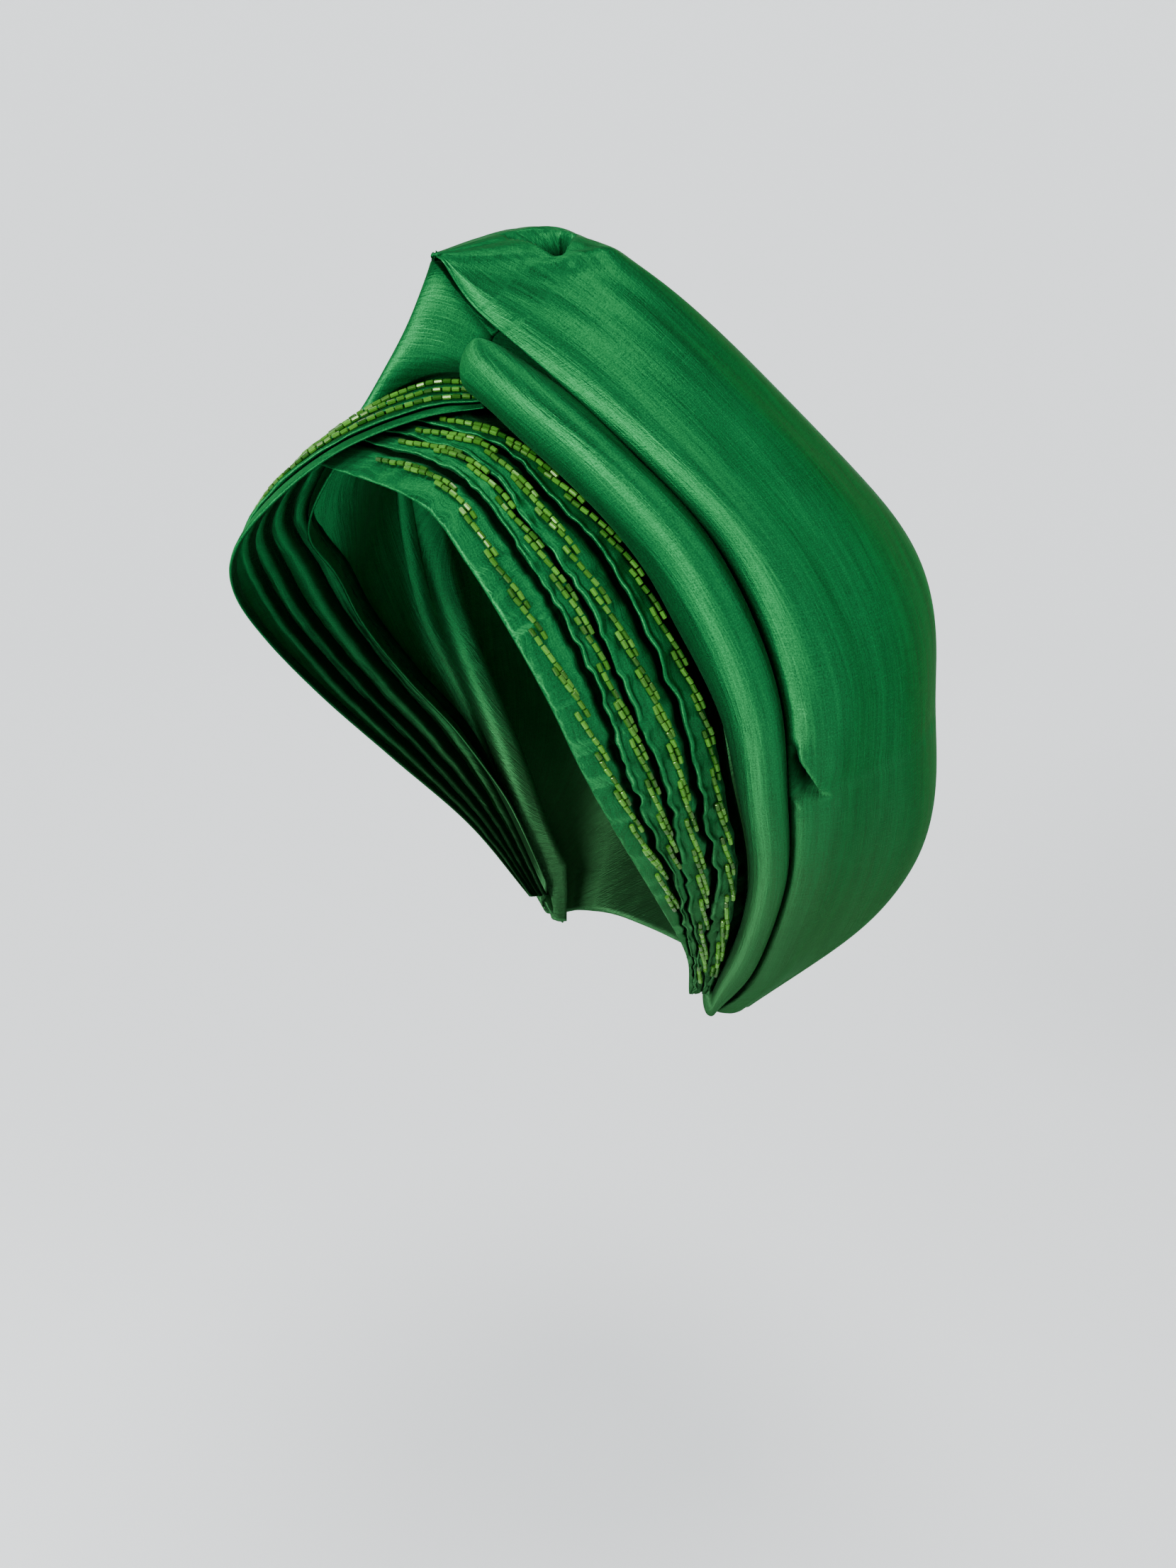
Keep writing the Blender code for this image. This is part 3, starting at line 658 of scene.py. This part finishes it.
crown = {
    "left": [(2.4, -15.3, 180.6), (12, -14, 169), (26, -11, 161), (58, -8, 146), (80, 1, 129),
             (93, 15, 110), (100, 28, 86), (102.4, 38.8, 58), (100, 45.8, 27), (91.3, 55.2, -8),
             (74.3, 60.2, -45.5), (63.2, 62.2, -60.5), (51, 60, -71.5)],
    "ridge": [(1, -15.7, 181.7), (2, -7, 183), (4, 25, 191.4), (4, 42, 181), (2, 71, 149), (0, 98, 122),
              (0, 124, 98), (0, 135, 76), (0, 139, 44), (0, 149, 2), (0, 146, -24), (0, 118, -48),
              (0, 90, -74)],
    "right": [(-0.4, -15.2, 180.2), (-10, -11, 174), (-24, -6, 165), (-46, 2, 149), (-70, 10, 127),
              (-88, 18, 104), (-96, 26, 80), (-99, 34, 54), (-98, 43, 27), (-89, 53, -8),
              (-73, 58, -45), (-62, 60, -60), (-50, 58, -71)],
    "width": [2, 14, 33, 62, 86, 99, 104, 106, 105, 99, 84, 68, 52],
    "lip": [0.5, 3, 6, 9, 9, 9, 9, 9, 7, 6, 5, 4, 3],
    "groove": [0, 0, 0.5, 1, 1.5, 1.5, 1.5, 1.5, 0.5, 0, 0, 0, 0],
    # the folded edge: reach, how far out, and that as a share of the lip
    "edge": [(10.0, -12.0, 0.0), (3.5, -10.0, 0.0), (0.4, -6.5, 0.0), (-0.4, -3.0, 0.0), (1.0, 0.0, 0.10),
             (3.8, 0.0, 0.52), (8.0, 0.0, 0.92), (13.5, 0.0, 1.10)],
    # how much wider the fold grows on the left side
    "roundness": [1, 1.1, 1.15, 1.1, 1.05, 1.05, 1.2, 1.35, 1.3, 1.1, 1, 1, 1],
    # how deep the folded edge runs on under the fold
    "deep": [0.25, 0.25, 0.35, 0.85, 1, 1, 1, 1, 1, 1, 1, 1, 1],
    # the rest of the section: share of the reach, share of the half width
    "back": [(0.50, 1.00), (0.80, 0.84), (0.95, 0.50)],
    "fullReach": 75.0, "leastSize": 0.05, "leastReach": 2, "inset": 0.7, "grooveReach": 24.0,
    "hidden": 13.0, "lipWidth": 7.0,
    # turns of smoothing, how far each goes, and the edges in mm that it leaves alone
    "smoothing": 90, "frontSmoothing": 200, "smoothShare": 0.7, "smoothEdge": 20, "smoothBlend": 30,
    # where more rows lie, how many more and how far around
    "rows": 240, "closeAt": (0.15, 0.64), "closeMore": 1.3, "closeReach": 0.055,
    "steps": 24, "leftSpacing": 1.3, "rightSpacing": 2.7, "thickness": 0.9, "flatLength": 0.42,
    # soft waves of three sizes, a little below the section
    "swell": 0.6, "swellLength": 80, "swellWidth": 38,
    "drape": 0.35, "drapeLength": 190.0, "drapeWidth": 27.0,
    "fine": 0.3, "fineLength": 60, "fineWidth": 11, "sink": 0.6,
    "wavesEdge": 24, "wavesBlend": 26, "wavesFront": 0.12,
    # valleyShade and valleyBlend: the painted shade in the left valley reaches this far across in mm,
    # blended over that
    "straight": 0.12, "valleyShade": 15.5, "valleyBlend": 3, "seed": 61,
}
crownPresses = [
    # presses and ridges along short lines: start, end, depth (out if below zero), radius at
    # each end
    ((27, 5.5, 177.5), (34, 13, 180.5), -1.5, 3.0, 3.5),
    ((34, 13, 180.5), (36.5, 22, 183), -1.8, 3.5, 4.0),
    ((36.5, 22, 183), (31, 31, 186), -0.8, 4.0, 5.0),
    ((107, 45, 52), (107.5, 54, 36), -1.2, 5.0, 5.0),
    ((101, 49, 22), (105, 58, 23), 0.9, 1.3, 1.0),
    ((98, 47, 16), (104, 57, 22), 0.7, 1.6, 1.0),
]
pinch = {
    # where the folded edge leaves the valley and ends in a point: the cloth below lies deeper
    "start": (99.5, 43, 44.5), "end": (103, 56, 26), "out": (0.9, -0.4, 0.1), "close": 14,
    "fadeIn": -0.05, "fadeOut": 0.75, "fadeOver": 0.35,
    "depth": 8.0, "edge": 1.2, "reach": 26.0, "endReach": 4.0,
    # shade and shadeDepth: how far in mm the painted shade under the edge reaches, and the step depth at
    # which it is full
    "over": 3.0, "overAt": 1.5, "overWidth": 2.2, "shade": 4.0, "shadeDepth": 4,
}
pocket = {
    # the deep fold behind the knot: its three corners, and how its long sides bow
    "front": (3, 5, 187), "side": (17, 25, 187.5), "bottom": (31.2, 8.8, 177.4),
    "nearBow": 1.2, "farBow": 3.0, "close": 34.0,
    # sheer below the near side and the end, sloping below the far side
    "depth": 22.0, "steep": 0.8, "edge": 2.0, "round": 1.7, "slope": 5.5,
    # painted shade inside it, from one depth in mm over another, and its most
    "shadeFrom": 0.5, "shadeOver": 11.0, "shadeMost": 0.9,
    # how far its end runs on sideways under the cloth
    "under": 14.0, "underReach": 9.0, "underWay": (-0.8, 0.6, 0.0),
}


def pocketMoves(points):
    # how deep the pocket is at every point, and how far the point moves sideways
    front, side, bottom = (np.array(pocket[name], float) for name in ("front", "side", "bottom"))
    face = unit(np.cross(side - front, bottom - front))

    def inside(a, b, c, bow=0.0):
        # how far each point lies inside the line from a to b, on c's side; a bow curves it
        way = np.cross(face, b - a)
        way = way * np.sign(way @ (c - a)) / np.linalg.norm(way)
        share = np.clip((points - a) @ (b - a) / ((b - a) @ (b - a)), 0, 1)
        return (points - a) @ way + bow * 4 * share * (1 - share)

    near = pocket["steep"] * inside(front, bottom, side, -pocket["nearBow"])
    end = pocket["steep"] * inside(bottom, side, front)
    far = inside(front, side, bottom, pocket["farBow"])
    close = np.abs((points - front) @ face) < pocket["close"]
    both = -pocket["round"] * np.logaddexp(-near / pocket["round"], -end / pocket["round"])
    depth = smooth(both / pocket["edge"]) * smooth(far / pocket["slope"]) * close
    under = pocket["under"] * depth * np.exp(-(np.maximum(end, 0) / pocket["underReach"]) ** 2)
    return pocket["depth"] * depth, under[..., None] * np.array(pocket["underWay"])


def crownSide(edge, ridge, width, lip, groove, roundness, deep, side):
    # the knots of one side's sections, from under the folded edge to near the ridge
    reach = ridge - edge
    reach[:, 0] = 0
    length = np.linalg.norm(reach, axis=-1)
    size = np.clip(length / crown["fullReach"], crown["leastSize"], 1)
    length = np.maximum(length, crown["leastReach"])
    section = [((along * size * (roundness if share else 1) + crown["inset"]) / length,
                out * size * deep + lip * share) for along, out, share in crown["edge"]]
    section.append((crown["grooveReach"] * size * np.sqrt(roundness) / length, lip - groove))
    points = []
    for share, out in section:
        point = edge + reach * share[:, None]
        point[:, 0] = edge[:, 0] + side * out
        points.append(point)
    for share, wide in crown["back"]:
        point = edge + reach * share
        point[:, 0] = side * width * wide
        points.append(point)
    return points


def pinchPlace(points):
    # share along the folded edge's last stretch, and distance below it
    start, end, face = (np.array(pinch[name], float) for name in ("start", "end", "out"))
    length = np.linalg.norm(end - start)
    line = (end - start) / length
    below = unit(np.cross(line, face))
    below = below * -np.sign(below[2])
    close = np.abs((points - start) @ unit(face)) < pinch["close"]
    farAbove = -99
    return (points - start) @ line / length, np.where(close, (points - start) @ below, farAbove), below


def pinchMoves(points, rise):
    # the step down under the edge, and the edge's own roll over it
    share, away, below = pinchPlace(points)
    along = smooth((share - pinch["fadeIn"]) / pinch["fadeOver"]) \
        * (1 - smooth((share - pinch["fadeOut"]) / pinch["fadeOver"]))
    reach = pinch["endReach"] + (pinch["reach"] - pinch["endReach"]) * np.clip(1 - share, 0, 1)
    depth = pinch["depth"] * smooth(0.5 + away / pinch["edge"]) \
        * np.exp(-(np.maximum(away, 0) / reach) ** 2) * along
    over = pinch["over"] * np.exp(-((away + pinch["overAt"]) / pinch["overWidth"]) ** 2) * along
    return depth * rise, below * (over * rise)[..., None]


def crownRows():
    # shares from 0 to 1, closer together near some places
    even = np.linspace(0, 1, 2000)
    density = 1 + sum(crown["closeMore"] * np.exp(-((even - place) / crown["closeReach"]) ** 2)
                      for place in crown["closeAt"])
    total = np.cumsum(density)
    return np.interp(np.linspace(total[0], total[-1], crown["rows"]), total, even)


def smoothed(points, across, t):
    # evens out the cloth between the folded edges, and the front along its length
    fromEdge = np.minimum(across - across[0], across[-1] - across)[None, 1:-1, None]
    inner = smooth((fromEdge - crown["smoothEdge"]) / crown["smoothBlend"])
    front = (smooth(t / 0.06) * (1 - smooth((t - 0.30) / 0.15)))[1:-1, None, None]
    for turn in range(crown["smoothing"]):
        near = (points[2:, 1:-1] + points[:-2, 1:-1] + points[1:-1, 2:] + points[1:-1, :-2]) / 4
        points[1:-1, 1:-1] += crown["smoothShare"] * inner * (near - points[1:-1, 1:-1])
    for turn in range(crown["frontSmoothing"]):
        near = (points[2:] + points[:-2]) / 2
        points[1:-1] += crown["smoothShare"] * front * (near - points[1:-1])
    return points


def crownWaves(points, across, t):
    # how far the waves and the presses lift every point
    run = arcs(points[:, points.shape[1] // 2])[:, None]
    tall = crown["swell"] * ripple(run / crown["swellLength"], across[None] / crown["swellWidth"],
                                   crown["seed"]) \
        + crown["drape"] * ripple(run / crown["drapeLength"], across[None] / crown["drapeWidth"],
                                  crown["seed"] + 1) \
        + crown["fine"] * ripple(run / crown["fineLength"], across[None] / crown["fineWidth"],
                                 crown["seed"] + 2) - crown["sink"]
    fromEdge = np.minimum(across - across[0], across[-1] - across)
    tall = tall * smooth((fromEdge - crown["wavesEdge"]) / crown["wavesBlend"])[None] \
        * smooth(t / crown["wavesFront"])[:, None]
    for start, end, depth, nearRadius, farRadius in crownPresses:
        share, away = linePlace(points, start, end)
        tall = tall - depth * np.exp(-(away / (nearRadius + (farRadius - nearRadius) * share)) ** 2)
    return tall


def crownCloth():
    t = crownRows()
    left, ridge, right = (spline(crown[name], t) for name in ("left", "ridge", "right"))
    width, lip, groove, roundness, deep = (spline(crown[name], t)[:, 0]
                                           for name in ("width", "lip", "groove", "roundness", "deep"))
    section = crownSide(left, ridge, width, lip, groove, roundness, deep, 1) + [ridge] \
        + crownSide(right, ridge, width, lip, groove, np.ones_like(t), deep, -1)[::-1]
    fine = splineAcross(np.stack(section, 1), crown["steps"])
    lengths = arcs(fine.swapaxes(0, 1)).max(1)
    half = lengths[-1] / 2
    samples = np.concatenate([np.arange(0, half, crown["leftSpacing"]),
                              np.arange(half, lengths[-1], crown["rightSpacing"]), lengths[-1:]])
    columns = np.unique(np.round(np.interp(samples, lengths, np.arange(len(lengths)))).astype(int))
    points = fine[:, columns]
    across = lengths[columns]
    points = smoothed(points, across, t)
    out = outward(points)
    tall = crownWaves(points, across, t)
    rise = smooth((across - across[0] - crown["hidden"]) / crown["lipWidth"])[None]
    step, over = pinchMoves(points, rise)
    hollow, under = pocketMoves(points)
    points = points + out * (tall - hollow - step)[..., None] + over + under
    # painted shade: dark in the valley beside the roll, deep in the pocket and under the pinch's folded
    # edge
    left = np.arange(points.shape[1]) < points.shape[1] // 2
    fromShade = across[None] - crown["valleyShade"]
    valley = left[None] * (1 - smooth((fromShade + crown["valleyBlend"] / 2) / crown["valleyBlend"])) \
        * smooth(t / 0.2 - 0.3)[:, None]
    inPocket = pocket["shadeMost"] * smooth((hollow - pocket["shadeFrom"]) / pocket["shadeOver"])
    away = pinchPlace(points)[1]
    underEdge = smooth(step / pinch["shadeDepth"]) * np.exp(-np.maximum(away, 0) / pinch["shade"])
    folds = np.clip(valley + inPocket + underEdge, 0, 1)
    made = clothPiece("crown_cloth", points, crown["thickness"], ["crown"], folds,
                      straight=crown["straight"])


crownCloth()
sideRoll()
frontPanel()
pleatedBand("left_band_cloth", leftSide, leftBand, ["left_band"])
pleatedBand("right_band_cloth", rightSide, rightBand, ["right_band"])
for number, row in enumerate(leftRows, 1):
    beadRow(f"left_beads_{number}", leftSide, leftBand, row, True, f"left_bead_row_{number}", number)
for number, row in enumerate(rightRows, 1):
    beadRow(f"right_beads_{number}", rightSide, rightBand, row, False, f"right_bead_row_{number}",
            number + 10)


# floor, light and camera

studio = {
    "floor": -0.30, "flat": 1.5, "bend": 0.9, "rim": 2.4, "paper": (0.80, 0.82, 0.83, 1),
    # the paper glows more towards the back, from one distance in metres to another
    "toBack": (-0.809, 0.588, 0.0), "glowFrom": -0.2, "glowTo": 1.3, "leastGlow": 0.1, "glow": 0.60,
    "roughness": 0.9, "aim": (0, 0.03, 0.06), "world": 0.32, "worldTint": (0.93, 0.96, 1.0, 1),
    "key": {"place": (0.30, -1.33, 0.52), "size": 0.55, "power": 39},
    "side": {"place": (1.6, 0.3, 1.2), "size": 1.0, "power": 6},
    "top": {"place": (0.1, 0.1, 1.8), "size": 0.9, "power": 20},
}


def paperSweep():
    # a wide round floor that curves up into a wall, so no horizon shows
    made, tree, shader = newMaterial("palePaper")
    shader.inputs["Base Color"].default_value = studio["paper"]
    shader.inputs["Roughness"].default_value = studio["roughness"]
    shader.inputs["Emission Color"].default_value = studio["paper"]
    place = addNode(tree, "ShaderNodeTexCoord").outputs["Object"]
    behind = addNode(tree, "ShaderNodeVectorMath", {"operation": "DOT_PRODUCT"}, in0=place,
                     in1=studio["toBack"]).outputs["Value"]
    glow = fade(tree, behind, studio["glowFrom"], studio["glowTo"], studio["leastGlow"], studio["glow"])
    tree.links.new(glow, shader.inputs["Emission Strength"])
    flat, bend = studio["flat"], studio["bend"]
    profile = [(0.02, 0)] + [(flat + bend * math.sin(a), bend - bend * math.cos(a))
                             for a in np.linspace(0, math.pi / 2, 13)] + [(flat + bend, studio["rim"])]
    bm = bmesh.new()
    verts = [bm.verts.new((x, 0, studio["floor"] + z)) for x, z in profile]
    edges = [bm.edges.new(pair) for pair in zip(verts, verts[1:])]
    bmesh.ops.spin(bm, geom=verts + edges, cent=(0, 0, 0), axis=(0, 0, 1), angle=2 * math.pi, steps=72,
                   use_merge=True)
    bmesh.ops.holes_fill(bm, edges=[e for e in bm.edges if e.is_boundary and e.verts[0].co.length < 1],
                         sides=0)
    for face in bm.faces:
        face.smooth = True
    floor = meshObject("floor", bm, made)


def softBox(name, look):
    data = bpy.data.lights.new(name, "AREA")
    data.shape, data.size, data.energy = "DISK", look["size"], look["power"]
    lamp = bpy.data.objects.new(name, data)
    lamp.location = look["place"]
    toTurban = Vector(studio["aim"]) - Vector(look["place"])
    lamp.rotation_euler = toTurban.to_track_quat("-Z", "Y").to_euler()
    bpy.context.scene.collection.objects.link(lamp)


paperSweep()
for name in ("key", "side", "top"):
    softBox(name, studio[name])
world = bpy.data.worlds.new("studio")
world.use_nodes = True
background = world.node_tree.nodes["Background"]
background.inputs["Color"].default_value = studio["worldTint"]
background.inputs["Strength"].default_value = studio["world"]
bpy.context.scene.world = world

view = {
    "azimuth": 54.0, "elevation": 19.0, "distance": 0.531, "right": 0.033, "up": 0.011,
    "lens": 35.8, "sensor": 36.0, "nearest": 0.01,
}
a, e = math.radians(view["azimuth"]), math.radians(view["elevation"])
back = Vector((math.sin(a) * math.cos(e), -math.cos(a) * math.cos(e), math.sin(e)))
right = Vector((math.cos(a), math.sin(a), 0))
up = back.cross(right)
camera = bpy.data.objects.new("camera", bpy.data.cameras.new("camera"))
camera.location = back * view["distance"] + right * view["right"] + up * view["up"]
camera.rotation_euler = Matrix((right, up, back)).transposed().to_euler()
camera.data.lens = view["lens"]
camera.data.sensor_width = view["sensor"]
camera.data.clip_start = view["nearest"]
bpy.context.scene.collection.objects.link(camera)
bpy.context.scene.camera = camera
print("stage set")
